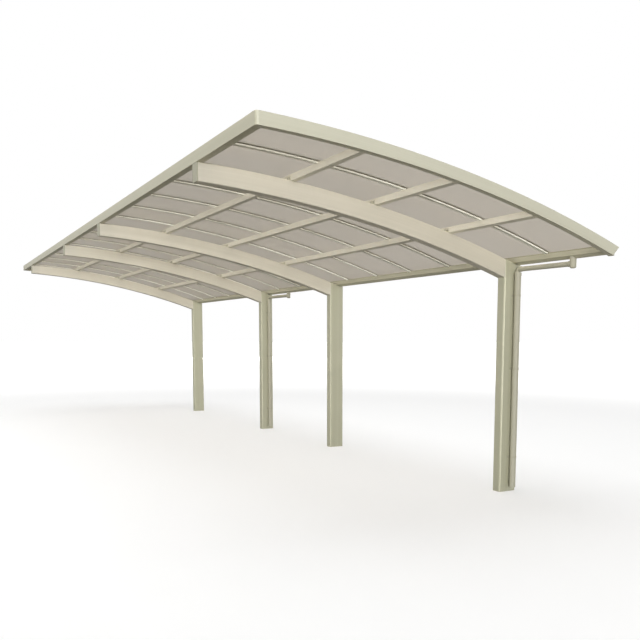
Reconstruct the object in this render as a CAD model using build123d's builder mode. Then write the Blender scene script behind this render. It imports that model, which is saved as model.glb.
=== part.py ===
"""Two-unit tandem cantilever carport: four posts along one side carry curved box
beams, purlins, roof bars and thin sheets, with an eave frame on the free side and
a gutter over the posts.

Millimetres. +X runs across the roof from the free eave to the post side, +Y runs
along the carport from the front gable to the rear one, +Z is up. The origin is the
centre of the front post's foot, at ground level.
"""

from build123d import *
import os
from math import asin, atan2, cos, degrees, radians, sin, sqrt, tan

os.makedirs("parts", exist_ok=True)

# ---- layout along the carport
sheet_pitch = 625.0
sheets_per_unit = 8
unit_count = 2
post_spacing = 2980.0
unit_length = sheet_pitch * sheets_per_unit
post_overhang = (unit_length - post_spacing) / 2
front_y = -post_overhang
rear_y = front_y + unit_length * unit_count
joint_y = front_y + unit_length

# ---- roof arc across the carport, taken at the underside of the roof bars
roof_radius = 9740.0
low_slope = 19.14
low_x = 25.0
low_z = 1971.0
roof_span = 2644.0
eave_inner_x = low_x - roof_span
crown_x = low_x - roof_radius * sin(radians(low_slope))
crown_z = low_z - roof_radius * cos(radians(low_slope))

# ---- fits
seat_gap = 0.2
joint_gap = 1.0

# ---- posts
post_width = 175.0
post_depth = 92.0
post_corner = 14.0

# ---- beams
beam_thickness = 88.0
beam_depth_tip = 124.0
beam_depth_middle = 137.0
beam_depth_post = 150.0
beam_corner = 4.0
beam_cap_thickness = 8.0

# ---- purlins
purlin_width = 40.0
purlin_depth = 50.0
purlin_corner = 3.0
purlin_first = 664.0
purlin_spacing = 691.0
purlin_names = ("right", "middle", "left")

# ---- rim frames
frame_rise = 26.0
frame_width = 50.0
frame_corner = 20.0
flange_thickness = 5.0
eave_reach = 112.0

# ---- gutter: a side rail under the sheet ends, with a floor, and an outer wall
rail_face = 36.0
rail_slant = 27.0
rail_heel = 8.0
rail_side = 20.0
rail_top = 20.0
gutter_sheet = 2.5
gutter_depth = 58.0
gutter_floor = 14.0
gutter_flare = 48.0
gutter_cap_thickness = 3.0

# ---- roof bars and sheets
bar_width = 36.0
bar_base = 11.6
bar_web = 10.0
bar_cap_width = 44.0
bar_cap = 5.0
joint_bar_width = 80.0
edge_bar_width = 20.0
edge_bar_web = 5.0
sheet_thickness = 3.0
sheet_side_gap = 3.0
sheet_overhang = 30.0

# ---- rainwater pipes
link_outer = 40.0
pipe_wall = 2.5
socket_play = 0.3
socket_wall = 2.5
socket_length = 22.0
link_bend = 24.0
link_fall = 30.0
downpipe_outer = 52.0
link_drop = 38.0
outlet_outer = 50.0
outlet_bore = 32.0
outlet_round = 14.0
outlet_setback = 370.0
outlet_drop = 35.0
downpipe_x = 28.0
downpipe_foot = 40.0


def arc_angle(x, radius):
    """Angle from the vertical at which an arc about the roof's centre stands over x."""
    return degrees(asin((x - crown_x) / radius))


def arc_point(angle, radius):
    """Point of the section at an angle from the vertical on an arc."""
    return (crown_x + radius * sin(radians(angle)), crown_z + radius * cos(radians(angle)))


def arc_z(x, radius):
    """Height of an arc over x."""
    return crown_z + sqrt(radius**2 - (x - crown_x) ** 2)


def across(y):
    """Plane of the section at y, its own x along +X, its own y along +Z."""
    return Plane(origin=(0, y, 0), x_dir=(1, 0, 0), z_dir=(0, -1, 0))


def band(inner, outer, start_x, end_x):
    """Sketch the band between two roof arcs from one x to another."""
    low_start = (start_x, arc_z(start_x, inner))
    low_end = (end_x, arc_z(end_x, inner))
    top_end = (end_x, arc_z(end_x, outer))
    top_start = (start_x, arc_z(start_x, outer))
    middle_x = (start_x + end_x) / 2
    with BuildSketch(mode=Mode.PRIVATE) as profile:
        with BuildLine():
            ThreePointArc(low_start, (middle_x, arc_z(middle_x, inner)), low_end)
            Line(low_end, top_end)
            ThreePointArc(top_end, (middle_x, arc_z(middle_x, outer)), top_start)
            Line(top_start, low_start)
        make_face()
    return profile.sketch


def finish(part, name):
    """Label a finished piece and write it to its own file."""
    part.label = name
    export_step(part, f"parts/{name}.step")


# ---- derived places
eave_outer_x = eave_inner_x - eave_reach
eave_box_x = eave_outer_x + frame_width
rim_top = roof_radius + frame_rise
rim_low = roof_radius - purlin_depth + seat_gap
flange_top = roof_radius - seat_gap
flange_low = flange_top - flange_thickness
bar_top = roof_radius + bar_base
sheet_low = bar_top + seat_gap
sheet_top = sheet_low + sheet_thickness
cap_low = sheet_top + seat_gap
cap_top = cap_low + bar_cap
seat_radius = roof_radius - purlin_depth
gutter_low_z = low_z - gutter_depth
rail_low_x = low_x + rail_slant
rail_outer_x = rail_low_x + rail_heel
gutter_heel_x = rail_outer_x + gutter_floor
gutter_outer_x = gutter_heel_x + gutter_flare
gutter_top_z = arc_z(gutter_outer_x, rim_top)
gutter_lean = atan2(gutter_top_z - gutter_low_z, gutter_flare)
floor_end_x = gutter_heel_x - gutter_sheet * tan(gutter_lean / 2)
sheet_end_x = low_x + sheet_overhang
outlet_x = (rail_low_x + gutter_heel_x) / 2 - outlet_outer / 8
link_z = gutter_low_z - link_drop
link_bore = link_outer - 2 * pipe_wall
outlet_low_z = link_z - outlet_drop
socket_inner = downpipe_outer + 2 * socket_play
socket_outer = socket_inner + 2 * socket_wall
shoulder_z = link_z - link_fall
post_left_x = -post_width / 2

# ---- plan that rounds the corners of the free side; it reaches well past the gutter
plan_size = (roof_span * 2, rear_y - front_y)
plan_centre = (eave_outer_x + roof_span, (front_y + rear_y) / 2)

units = {"front": front_y, "rear": joint_y}
post_ys = []
for start in units.values():
    post_ys += [start + post_overhang, start + post_overhang + post_spacing]
drained_posts = {"front": post_ys[0], "rear": post_ys[2]}

# ---- gutter outline, shared by the end caps and the outlets
gutter_outline = [
    (low_x, low_z - seat_gap),
    (low_x, low_z - rail_face),
    (rail_low_x, gutter_low_z),
    (gutter_heel_x, gutter_low_z),
    (gutter_outer_x, gutter_top_z),
]

# ---- posts: the head follows the top of the beam, with a level seat under the gutter
head_left_z = arc_z(post_left_x, seat_radius)
head_notch_z = arc_z(low_x, seat_radius)
for number, y in enumerate(post_ys, start=1):
    with BuildPart() as post:
        with BuildSketch():
            with Locations((0, y)):
                RectangleRounded(post_width, post_depth, post_corner)
        extrude(amount=head_left_z)
        with BuildSketch(across(y)):
            with BuildLine():
                Polyline(
                    (post_left_x, head_left_z),
                    (low_x, head_notch_z),
                    (low_x, gutter_low_z - seat_gap),
                    (post_width, gutter_low_z - seat_gap),
                    (post_width, head_left_z + post_width),
                    (post_left_x, head_left_z + post_width),
                    close=True,
                )
            make_face()
        extrude(amount=post_depth, both=True, mode=Mode.SUBTRACT)
    finish(post.part, f"post_{number}")

# ---- beams: concentric top edge, tapering depth, end coped round the post
beam_end_x = post_left_x + post_corner
cap_x = eave_outer_x + beam_cap_thickness
tip_top = (cap_x, arc_z(cap_x, seat_radius))
end_top = (beam_end_x, arc_z(beam_end_x, seat_radius))
middle_x = (cap_x + beam_end_x) / 2
middle_top = (middle_x, arc_z(middle_x, seat_radius))
tip_low = (cap_x, tip_top[1] - beam_depth_tip)
middle_low = (middle_x, middle_top[1] - beam_depth_middle)
end_low = (beam_end_x, end_top[1] - beam_depth_post)
for number, y in enumerate(post_ys, start=1):
    with BuildPart() as beam:
        with BuildSketch(across(y)):
            with BuildLine():
                ThreePointArc(tip_top, middle_top, end_top)
                Line(end_top, end_low)
                ThreePointArc(end_low, middle_low, tip_low)
                Line(tip_low, tip_top)
            make_face()
        extrude(amount=beam_thickness / 2, both=True)
        chamfer(beam.edges().filter_by(GeomType.CIRCLE), length=beam_corner)
        with BuildSketch():
            with Locations((0, y)):
                RectangleRounded(post_width, post_depth, post_corner)
        extrude(amount=head_left_z * 2, mode=Mode.SUBTRACT)
    finish(beam.part, f"beam_{number}")

    with BuildPart() as cap:
        with BuildSketch(Plane(origin=(cap_x, y, 0), x_dir=(0, 1, 0), z_dir=(1, 0, 0))):
            with Locations((0, (tip_top[1] + tip_low[1]) / 2)):
                plate = Rectangle(beam_thickness, beam_depth_tip)
            chamfer(plate.vertices(), length=beam_corner)
        extrude(amount=-beam_cap_thickness)
        chamfer(cap.faces().sort_by(Axis.X)[0].edges(), length=beam_cap_thickness / 4)
    finish(cap.part, f"beam_{number}_end_cap")

# ---- purlins: one length per unit, between the beams and the roof bars
for unit, start in units.items():
    purlin_start = start + (frame_width if start == front_y else joint_gap / 2)
    purlin_end = start + unit_length - (joint_gap / 2 if start == front_y else frame_width)
    for index, name in enumerate(purlin_names):
        centre_x = low_x - purlin_first - purlin_spacing * index
        tilt = arc_angle(centre_x, roof_radius)
        centre = arc_point(tilt, roof_radius - purlin_depth / 2)
        section = Plane(
            origin=(centre[0], purlin_start, centre[1]),
            x_dir=(cos(radians(tilt)), 0, -sin(radians(tilt))),
            z_dir=(0, 1, 0),
        )
        with BuildPart() as purlin:
            with BuildSketch(section):
                RectangleRounded(purlin_width, purlin_depth - 2 * seat_gap, purlin_corner)
            extrude(amount=purlin_end - purlin_start)
        finish(purlin.part, f"purlin_{name}_{unit}")

# ---- gable frames: curved fascias, mitred to the eave frames and cut to the gutter's lean
for name, outer_y, inward in (("front", front_y, 1), ("rear", rear_y, -1)):
    corner = (eave_outer_x, outer_y)
    with BuildPart() as gable:
        with BuildSketch(across(outer_y)):
            add(band(rim_low, rim_top, eave_outer_x, gutter_outer_x))
        extrude(amount=-frame_width * inward)
        with BuildSketch(across(outer_y)):
            with BuildLine():
                Polyline(
                    (gutter_heel_x, gutter_low_z - gutter_depth),
                    (gutter_heel_x, gutter_low_z),
                    (gutter_outer_x, gutter_top_z),
                    (gutter_outer_x + gutter_flare, gutter_low_z - gutter_depth),
                    close=True,
                )
            make_face()
        extrude(amount=frame_width * 2, both=True, mode=Mode.SUBTRACT)
        with BuildSketch(Plane.XY):
            with BuildLine():
                Polyline(
                    corner,
                    (eave_box_x, outer_y + frame_width * inward),
                    (eave_outer_x, outer_y + frame_width * inward),
                    close=True,
                )
            make_face()
        extrude(amount=low_z * 2, mode=Mode.SUBTRACT)
        with BuildSketch():
            with Locations(plan_centre):
                RectangleRounded(*plan_size, frame_corner)
        extrude(amount=low_z * 2, mode=Mode.INTERSECT)
    finish(gable.part, f"{name}_gable_frame")

    # A half-width bar along the inner face clamps the edge sheet.
    inner_y = outer_y + frame_width * inward
    with BuildPart() as edge_bar:
        with BuildSketch(across(inner_y)):
            add(band(roof_radius, bar_top, eave_box_x + seat_gap, sheet_end_x))
        extrude(amount=-edge_bar_width * inward)
        with BuildSketch(across(inner_y)):
            add(band(bar_top, cap_low, eave_box_x + seat_gap, sheet_end_x))
        extrude(amount=-edge_bar_web * inward)
        with BuildSketch(across(inner_y)):
            add(band(cap_low, cap_top, eave_box_x + seat_gap, sheet_end_x))
        extrude(amount=-edge_bar_width * inward)
    finish(edge_bar.part, f"{name}_edge_bar")

# ---- eave frames: a box fascia with an inner flange under the ends of the bars
for unit, start in units.items():
    is_front = start == front_y
    end_y = front_y if is_front else rear_y
    inward = 1 if is_front else -1
    with BuildPart() as eave:
        with BuildSketch(across(end_y)):
            add(band(rim_low, rim_top, eave_outer_x, eave_box_x))
            add(band(flange_low, flange_top, eave_box_x, eave_inner_x))
        extrude(amount=-(unit_length - joint_gap / 2) * inward)
        with BuildSketch(Plane.XY):
            with BuildLine():
                Polyline(
                    (eave_outer_x, end_y),
                    (eave_box_x, end_y + frame_width * inward),
                    (eave_inner_x + frame_width, end_y + frame_width * inward),
                    (eave_inner_x + frame_width, end_y),
                    close=True,
                )
            make_face()
        extrude(amount=low_z * 2, mode=Mode.SUBTRACT)
        with BuildSketch():
            with Locations(plan_centre):
                RectangleRounded(*plan_size, frame_corner)
        extrude(amount=low_z * 2, mode=Mode.INTERSECT)
    finish(eave.part, f"left_eave_frame_{unit}")

# ---- gutters: the rail carries the sheet ends and the floor, the wall leans outwards
for unit, start in units.items():
    is_front = start == front_y
    end_y = front_y if is_front else rear_y
    inward = 1 if is_front else -1
    end_setback = frame_width + gutter_cap_thickness
    run_length = unit_length - joint_gap / 2 - end_setback
    with BuildPart() as rail:
        with BuildSketch(across(end_y + end_setback * inward)):
            with BuildLine():
                Polyline(
                    (low_x, low_z - seat_gap),
                    (low_x, low_z - rail_face),
                    (rail_low_x, gutter_low_z),
                    (gutter_heel_x, gutter_low_z),
                    (floor_end_x, gutter_low_z + gutter_sheet),
                    (rail_outer_x, gutter_low_z + gutter_sheet),
                    (rail_outer_x, gutter_low_z + rail_side),
                    (low_x + rail_top, arc_z(low_x + rail_top, roof_radius) - seat_gap),
                    close=True,
                )
            make_face()
        extrude(amount=-run_length * inward)
        with BuildSketch(Plane.XY.offset(gutter_low_z)):
            with Locations((outlet_x, start + outlet_setback)):
                Circle(outlet_bore / 2)
        extrude(amount=rail_side, mode=Mode.SUBTRACT)
    finish(rail.part, f"gutter_rail_{unit}")

    with BuildPart() as wall:
        with BuildSketch(across(end_y + end_setback * inward)):
            with BuildLine():
                Polyline(
                    (gutter_heel_x, gutter_low_z),
                    (gutter_outer_x, gutter_top_z),
                    (gutter_outer_x - gutter_sheet / sin(gutter_lean), gutter_top_z),
                    (floor_end_x, gutter_low_z + gutter_sheet),
                    close=True,
                )
            make_face()
        extrude(amount=-run_length * inward)
    finish(wall.part, f"gutter_wall_{unit}")

    with BuildPart() as gutter_cap:
        with BuildSketch(across(end_y + frame_width * inward)):
            with BuildLine():
                Polyline(
                    *gutter_outline,
                    (sheet_end_x + joint_gap, gutter_top_z),
                    (sheet_end_x + joint_gap, arc_z(sheet_end_x + joint_gap, roof_radius) - seat_gap),
                    close=True,
                )
            make_face()
        extrude(amount=-gutter_cap_thickness * inward)
    finish(gutter_cap.part, f"gutter_end_cap_{unit}")

# ---- roof bars: a base under the sheets, a web between them and a cap over them
joint_bar_web = joint_bar_width - bar_width + bar_web
joint_bar_cap = joint_bar_width - bar_width + bar_cap_width
bar_groups = {"unit_joint_bar": ([joint_y], joint_bar_width, joint_bar_web, joint_bar_cap)}
for unit, start in units.items():
    bar_ys = [start + sheet_pitch * step for step in range(1, sheets_per_unit)]
    bar_groups[f"roof_bars_{unit}"] = (bar_ys, bar_width, bar_web, bar_cap_width)
for name, (ys, base_width, web_width, cap_width) in bar_groups.items():
    with BuildPart() as bars:
        for y in ys:
            with BuildSketch(across(y)):
                add(band(roof_radius, bar_top, eave_box_x + seat_gap, sheet_end_x))
            extrude(amount=base_width / 2, both=True)
            with BuildSketch(across(y)):
                add(band(bar_top, cap_low, eave_box_x + seat_gap, sheet_end_x))
            extrude(amount=web_width / 2, both=True)
            with BuildSketch(across(y)):
                add(band(cap_low, cap_top, eave_box_x + seat_gap, sheet_end_x))
            extrude(amount=cap_width / 2, both=True)
    finish(bars.part, name)

# ---- sheets: eight thin curved panels to a unit, held under the caps of the bars
for unit, start in units.items():
    edge_setback = frame_width + edge_bar_web + sheet_side_gap
    joint_setback = joint_bar_web / 2 + sheet_side_gap
    bar_setback = bar_web / 2 + sheet_side_gap
    with BuildPart() as sheets:
        for step in range(sheets_per_unit):
            sheet_front = start + sheet_pitch * step + bar_setback
            sheet_rear = start + sheet_pitch * (step + 1) - bar_setback
            if step == 0:
                sheet_front = start + (edge_setback if start == front_y else joint_setback)
            if step == sheets_per_unit - 1:
                sheet_rear = start + unit_length - (joint_setback if start == front_y else edge_setback)
            with BuildSketch(across(sheet_front)):
                add(band(sheet_low, sheet_top, eave_box_x + seat_gap, sheet_end_x))
            extrude(amount=sheet_front - sheet_rear)
    finish(sheets.part, f"roof_sheets_{unit}")

# ---- rainwater drains: a bored outlet under the gutter, a bent link pipe, a downpipe
for unit, post_y in drained_posts.items():
    outlet_y = units[unit] + outlet_setback
    pipe_y = post_y - post_depth / 2 - seat_gap - socket_outer / 2
    run = sqrt((outlet_x - downpipe_x) ** 2 + (pipe_y - outlet_y) ** 2)
    heading = ((downpipe_x - outlet_x) / run, (pipe_y - outlet_y) / run, 0)
    with BuildPart() as outlet:
        with BuildSketch(Plane.XY.offset(outlet_low_z)):
            with Locations((outlet_x, outlet_y)):
                Circle(outlet_outer / 2)
        extrude(amount=low_z - outlet_low_z)
        fillet(outlet.edges().sort_by(Axis.Z)[0], radius=outlet_round)
        with BuildSketch(across(outlet_y)):
            with BuildLine():
                Polyline(
                    *gutter_outline[1:],
                    (gutter_outer_x, low_z + gutter_depth),
                    (low_x - outlet_outer, low_z + gutter_depth),
                    (low_x - outlet_outer, low_z - rail_face),
                    close=True,
                )
            make_face()
        extrude(amount=outlet_outer, both=True, mode=Mode.SUBTRACT)
        with BuildSketch(Plane.XY.offset(link_z - link_bore / 2)):
            with Locations((outlet_x, outlet_y)):
                Circle(outlet_bore / 2)
        extrude(amount=low_z, mode=Mode.SUBTRACT)
        with BuildSketch(Plane(origin=(outlet_x, outlet_y, link_z), x_dir=(0, 0, 1), z_dir=heading)):
            Circle(link_bore / 2)
        extrude(amount=outlet_outer, mode=Mode.SUBTRACT)
    finish(outlet.part, f"drain_outlet_{unit}")

    with BuildPart() as link:
        with BuildLine() as path:
            FilletPolyline(
                (outlet_x, outlet_y, link_z),
                (downpipe_x, pipe_y, link_z),
                (downpipe_x, pipe_y, shoulder_z),
                radius=link_bend,
            )
        with BuildSketch(Plane(origin=(outlet_x, outlet_y, link_z), x_dir=(0, 0, 1), z_dir=heading)):
            Circle(link_outer / 2)
            Circle(link_bore / 2, mode=Mode.SUBTRACT)
        sweep(path=path.line)
        with BuildSketch(Plane.XY.offset(shoulder_z)):
            with Locations((downpipe_x, pipe_y)):
                Circle(socket_outer / 2)
                Circle(link_bore / 2, mode=Mode.SUBTRACT)
        extrude(amount=pipe_wall)
        with BuildSketch(Plane.XY.offset(shoulder_z)):
            with Locations((downpipe_x, pipe_y)):
                Circle(socket_outer / 2)
                Circle(socket_inner / 2, mode=Mode.SUBTRACT)
        extrude(amount=-socket_length)
        with BuildSketch(Plane.XY.offset(outlet_low_z)):
            with Locations((outlet_x, outlet_y)):
                Circle(outlet_outer / 2)
        extrude(amount=low_z - outlet_low_z, mode=Mode.SUBTRACT)
    finish(link.part, f"drain_link_{unit}")

    with BuildPart() as downpipe:
        with BuildSketch(Plane.XY.offset(downpipe_foot)):
            with Locations((downpipe_x, pipe_y)):
                Circle(downpipe_outer / 2)
                Circle(downpipe_outer / 2 - pipe_wall, mode=Mode.SUBTRACT)
        extrude(amount=shoulder_z - seat_gap - downpipe_foot)
    finish(downpipe.part, f"downpipe_{unit}")
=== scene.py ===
"""Looks for a two-unit tandem cantilever carport.

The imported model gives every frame, bar, sheet, gutter and pipe at its real place. This
script dresses those pieces, adds the seals, strips, screws, cleats, bolts, clips, collars
and the gutter sleeve that they carry, and sets up a plain pale studio. Metres, +X towards
the post side, +Y towards the rear gable, +Z up.
"""

import logging
import math
from collections import Counter
from collections.abc import Callable
from dataclasses import dataclass
from enum import Enum
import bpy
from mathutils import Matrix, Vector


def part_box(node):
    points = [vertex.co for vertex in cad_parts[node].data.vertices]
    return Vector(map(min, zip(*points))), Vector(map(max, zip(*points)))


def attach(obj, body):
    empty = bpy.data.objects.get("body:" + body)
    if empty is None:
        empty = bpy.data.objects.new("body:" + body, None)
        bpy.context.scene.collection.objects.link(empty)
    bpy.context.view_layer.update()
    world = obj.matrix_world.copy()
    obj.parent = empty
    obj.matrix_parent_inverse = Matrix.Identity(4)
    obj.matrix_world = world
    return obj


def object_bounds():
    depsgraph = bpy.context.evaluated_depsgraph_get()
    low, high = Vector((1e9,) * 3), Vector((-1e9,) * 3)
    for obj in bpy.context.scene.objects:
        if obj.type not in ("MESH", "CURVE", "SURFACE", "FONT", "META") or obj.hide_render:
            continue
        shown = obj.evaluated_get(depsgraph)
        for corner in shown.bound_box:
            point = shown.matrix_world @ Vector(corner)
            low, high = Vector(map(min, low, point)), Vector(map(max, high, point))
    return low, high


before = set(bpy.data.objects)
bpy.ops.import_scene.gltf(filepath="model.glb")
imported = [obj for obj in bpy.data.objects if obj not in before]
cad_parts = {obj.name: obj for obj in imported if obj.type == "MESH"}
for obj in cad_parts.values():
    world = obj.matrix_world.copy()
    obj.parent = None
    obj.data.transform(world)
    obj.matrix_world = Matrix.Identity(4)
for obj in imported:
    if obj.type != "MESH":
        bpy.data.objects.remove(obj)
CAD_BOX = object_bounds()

from fnmatch import fnmatchcase
from functools import cache

import bpy
from mathutils import Matrix, Vector

logging.basicConfig(level=logging.INFO, format="%(message)s")
LOG = logging.getLogger("carport")
BODY = "root"

UNITS = ("front", "rear")
PURLINS = ("left", "middle", "right")
POSTS = (1, 2, 3, 4)
SIDES = (-1.0, 1.0)
RIGHT = Vector((1.0, 0.0, 0.0))
REARWARD = Vector((0.0, 1.0, 0.0))
UP = Vector((0.0, 0.0, 1.0))
MERGE_DISTANCE = 0.00002
SMOOTH_BELOW = math.radians(40)

Colour = tuple[float, float, float, float]
Span = tuple[float, float]
Piece = bpy.types.Object
Socket = bpy.types.NodeSocket

WHITE: Colour = (1.0, 1.0, 1.0, 1.0)


def linear(red: int, green: int, blue: int) -> Colour:
    """Turn a display colour of 0 to 255 a channel into the linear colour that a shader takes.

    Args:
        red: red channel.
        green: green channel.
        blue: blue channel.

    Returns:
        The linear colour with full alpha.
    """
    channels = []
    for channel in (red, green, blue):
        share = channel / 255
        channels.append(share / 12.92 if share <= 0.04045 else ((share + 0.055) / 1.055) ** 2.4)
    return (channels[0], channels[1], channels[2], 1.0)


def middle(corners: tuple[Vector, Vector]) -> Span:
    """X and Y of the middle of a box."""
    low, high = corners
    return (low.x + high.x) / 2, (low.y + high.y) / 2


# ---------------------------------------------------------------------------- roof shape


@dataclass(frozen=True)
class RoofArc:
    """The roof's circular section, which every bar, sheet, purlin and gable follows.

    Its radii are those of the bars' underside, the sheets' underside and the caps' top.
    """

    centre_x: float
    centre_z: float
    base: float = 9.740
    sheet: float = 9.7518
    cap: float = 9.760

    @classmethod
    def from_bars(cls, node: str) -> "RoofArc":
        """Find the arc's centre from the lowest and highest corners of a set of roof bars.

        Args:
            node: the CAD node of the bars.

        Returns:
            The roof arc.
        """
        low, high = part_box(node)
        right = Vector((high.x, low.z))
        left = Vector((low.x, high.z))
        apart = right - left
        distance = apart.length
        along = (cls.cap**2 - cls.base**2 + distance**2) / (2 * distance)
        aside = math.sqrt(cls.cap**2 - along**2)
        axis = apart / distance
        square = Vector((axis.y, -axis.x))
        if square.y > 0:
            square = -square
        centre = left + axis * along + square * aside
        return cls(centre.x, centre.y)

    @property
    def centre(self) -> Span:
        """X and Z of the arc's centre."""
        return self.centre_x, self.centre_z

    def angle(self, x: float, radius: float) -> float:
        """Angle from the vertical, in radians, at which an arc of a radius stands over x."""
        return math.asin((x - self.centre_x) / radius)

    def height(self, x: float, radius: float) -> float:
        """Height of an arc of a radius over x."""
        return self.centre_z + math.sqrt(radius**2 - (x - self.centre_x) ** 2)

    def outward(self, angle: float) -> Vector:
        """Direction square to the roof at an angle from the vertical."""
        return Vector((math.sin(angle), 0.0, math.cos(angle)))

    def point(self, angle: float, radius: float, y: float) -> Vector:
        """Point on an arc of a radius at an angle from the vertical."""
        return Vector(
            (self.centre_x + radius * math.sin(angle), y, self.centre_z + radius * math.cos(angle))
        )


# ---------------------------------------------------------------------------- modelling


class Workshop:
    """Modelling steps that the pieces below share, each done with Blender's own operators."""

    @staticmethod
    def clear() -> None:
        """Deselect everything, so that an operator acts only on what is added next."""
        bpy.ops.object.select_all(action="DESELECT")

    @staticmethod
    def take(piece: Piece) -> None:
        """Select one piece alone and make it the active one.

        Args:
            piece: the piece.
        """
        Workshop.clear()
        piece.select_set(True)
        bpy.context.view_layer.objects.active = piece

    @staticmethod
    def sized(size: tuple[float, float, float]) -> Piece:
        """Size the primitive just added, and put its place, turn and size into its mesh.

        Args:
            size: what its own size is multiplied by.

        Returns:
            The primitive.
        """
        piece = bpy.context.object
        piece.scale = size
        Workshop.take(piece)
        bpy.ops.object.transform_apply(location=True, rotation=True, scale=True)
        return piece

    @staticmethod
    def pick_faces(piece: Piece, wanted: Callable[[bpy.types.MeshPolygon], bool]) -> None:
        """Enter edit mode with only some faces of the active piece selected.

        Args:
            piece: the active piece.
            wanted: tells whether a face is to be selected.
        """
        bpy.ops.object.mode_set(mode="EDIT")
        bpy.ops.mesh.select_mode(type="FACE")
        bpy.ops.mesh.select_all(action="DESELECT")
        bpy.ops.object.mode_set(mode="OBJECT")
        for polygon in piece.data.polygons:
            polygon.select = wanted(polygon)
        bpy.ops.object.mode_set(mode="EDIT")

    @staticmethod
    def put_down() -> None:
        """Go back to vertex selection and leave edit mode."""
        bpy.ops.mesh.select_mode(type="VERT")
        bpy.ops.object.mode_set(mode="OBJECT")

    @staticmethod
    def close_up() -> None:
        """Merge doubles, point the faces outwards and leave edit mode."""
        bpy.ops.mesh.select_all(action="SELECT")
        bpy.ops.mesh.remove_doubles(threshold=MERGE_DISTANCE)
        bpy.ops.mesh.normals_make_consistent(inside=False)
        Workshop.put_down()
        bpy.ops.object.shade_smooth_by_angle(angle=SMOOTH_BELOW)

    @staticmethod
    def soften(piece: Piece, width: float, segments: int = 2) -> None:
        """Round a piece's sharp edges.

        Args:
            piece: the piece, whose mesh is changed.
            width: width of the rounding in metres.
            segments: how many faces make the rounding.
        """
        Workshop.take(piece)
        bevel = piece.modifiers.new("Softened edges", "BEVEL")
        bevel.width = width
        bevel.segments = segments
        bevel.limit_method = "ANGLE"
        bpy.ops.object.modifier_apply(modifier=bevel.name)
        bpy.ops.object.shade_smooth_by_angle(angle=SMOOTH_BELOW)

    @staticmethod
    def block(low: Vector, high: Vector, rounding: float) -> Piece:
        """Make a small plate or block between two corners, with softened edges.

        Args:
            low: its lowest corner.
            high: its highest corner.
            rounding: width of the edge rounding.

        Returns:
            The block.
        """
        Workshop.clear()
        bpy.ops.mesh.primitive_cube_add(size=1.0, location=(low + high) / 2)
        piece = Workshop.sized(high - low)
        Workshop.soften(piece, rounding)
        return piece

    @staticmethod
    def spin(steps: int, angle: float, centre: Vector, axis: Vector) -> None:
        """Enter edit mode and sweep the active piece's section round an axis.

        Args:
            steps: how many lengths the sweep is made of.
            angle: how far it goes round.
            centre: a point on the axis.
            axis: the axis.
        """
        bpy.ops.object.mode_set(mode="EDIT")
        bpy.ops.mesh.select_all(action="SELECT")
        bpy.ops.mesh.spin(steps=steps, angle=angle, center=centre, axis=axis)

    @staticmethod
    def ring(
        centre: Vector, radii: Span, length: float, axis: Vector, steps: int = 28, ease: float = 0.3
    ) -> Piece:
        """Turn a band round an axis.

        Args:
            centre: the middle of the band.
            radii: its inner and outer radius.
            length: its length along the axis.
            axis: the direction of the axis, of length 1.
            steps: how many faces go round.
            ease: its edges' rounding, as a share of its thickness.

        Returns:
            The band.
        """
        thickness = radii[1] - radii[0]
        aside = axis.to_track_quat("Z", "Y") @ RIGHT
        turn = Matrix((aside, axis, aside.cross(axis))).transposed().to_euler()
        start = centre + aside * (sum(radii) / 2)
        Workshop.clear()
        bpy.ops.mesh.primitive_plane_add(size=1.0, location=start, rotation=turn)
        piece = Workshop.sized((thickness, length, 1.0))
        Workshop.spin(steps, 2 * math.pi, centre, axis)
        bpy.ops.mesh.select_all(action="SELECT")
        bpy.ops.mesh.remove_doubles(threshold=MERGE_DISTANCE)
        bpy.ops.object.mode_set(mode="OBJECT")
        Workshop.drop_inner_faces(piece)
        Workshop.close_up()
        Workshop.soften(piece, thickness * ease, 1)
        return piece

    @staticmethod
    def drop_inner_faces(piece: Piece) -> None:
        """Delete the section faces that a full turn leaves inside, and stay in edit mode.

        Args:
            piece: the active piece.
        """
        faces = piece.data.polygons
        shared = Counter(edge for face in faces for edge in face.edge_keys)
        inner = {face.index for face in faces if all(shared[edge] > 2 for edge in face.edge_keys)}
        Workshop.pick_faces(piece, lambda face: face.index in inner)
        if inner:
            bpy.ops.mesh.delete(type="ONLY_FACE")

    @staticmethod
    def placed(origin: Vector, axes: tuple[Vector, Vector, Vector]) -> Matrix:
        """Place at an origin, with X, Y and Z along three directions."""
        return Matrix.Translation(origin) @ Matrix(axes).transposed().to_4x4()

    @staticmethod
    def copy_at(master: Piece, place: Matrix) -> Piece:
        """Copy a master with its own mesh and put the copy's mesh in its place.

        Args:
            master: the piece to copy, standing on the origin.
            place: where the copy goes.

        Returns:
            The copy.
        """
        copy = master.copy()
        copy.data = master.data.copy()
        bpy.context.scene.collection.objects.link(copy)
        copy.data.transform(place)
        return copy

    @staticmethod
    def copies(master: Piece, places: list[tuple[Vector, Vector]]) -> list[Piece]:
        """Stand a copy of a master at each place.

        Args:
            master: the piece to copy, standing on the origin and pointing up.
            places: where each copy stands and which way it points.

        Returns:
            The copies.
        """
        made = []
        for place, facing in places:
            turn = facing.to_track_quat("Z", "Y").to_matrix().to_4x4()
            made.append(Workshop.copy_at(master, Matrix.Translation(place) @ turn))
        return made


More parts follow.
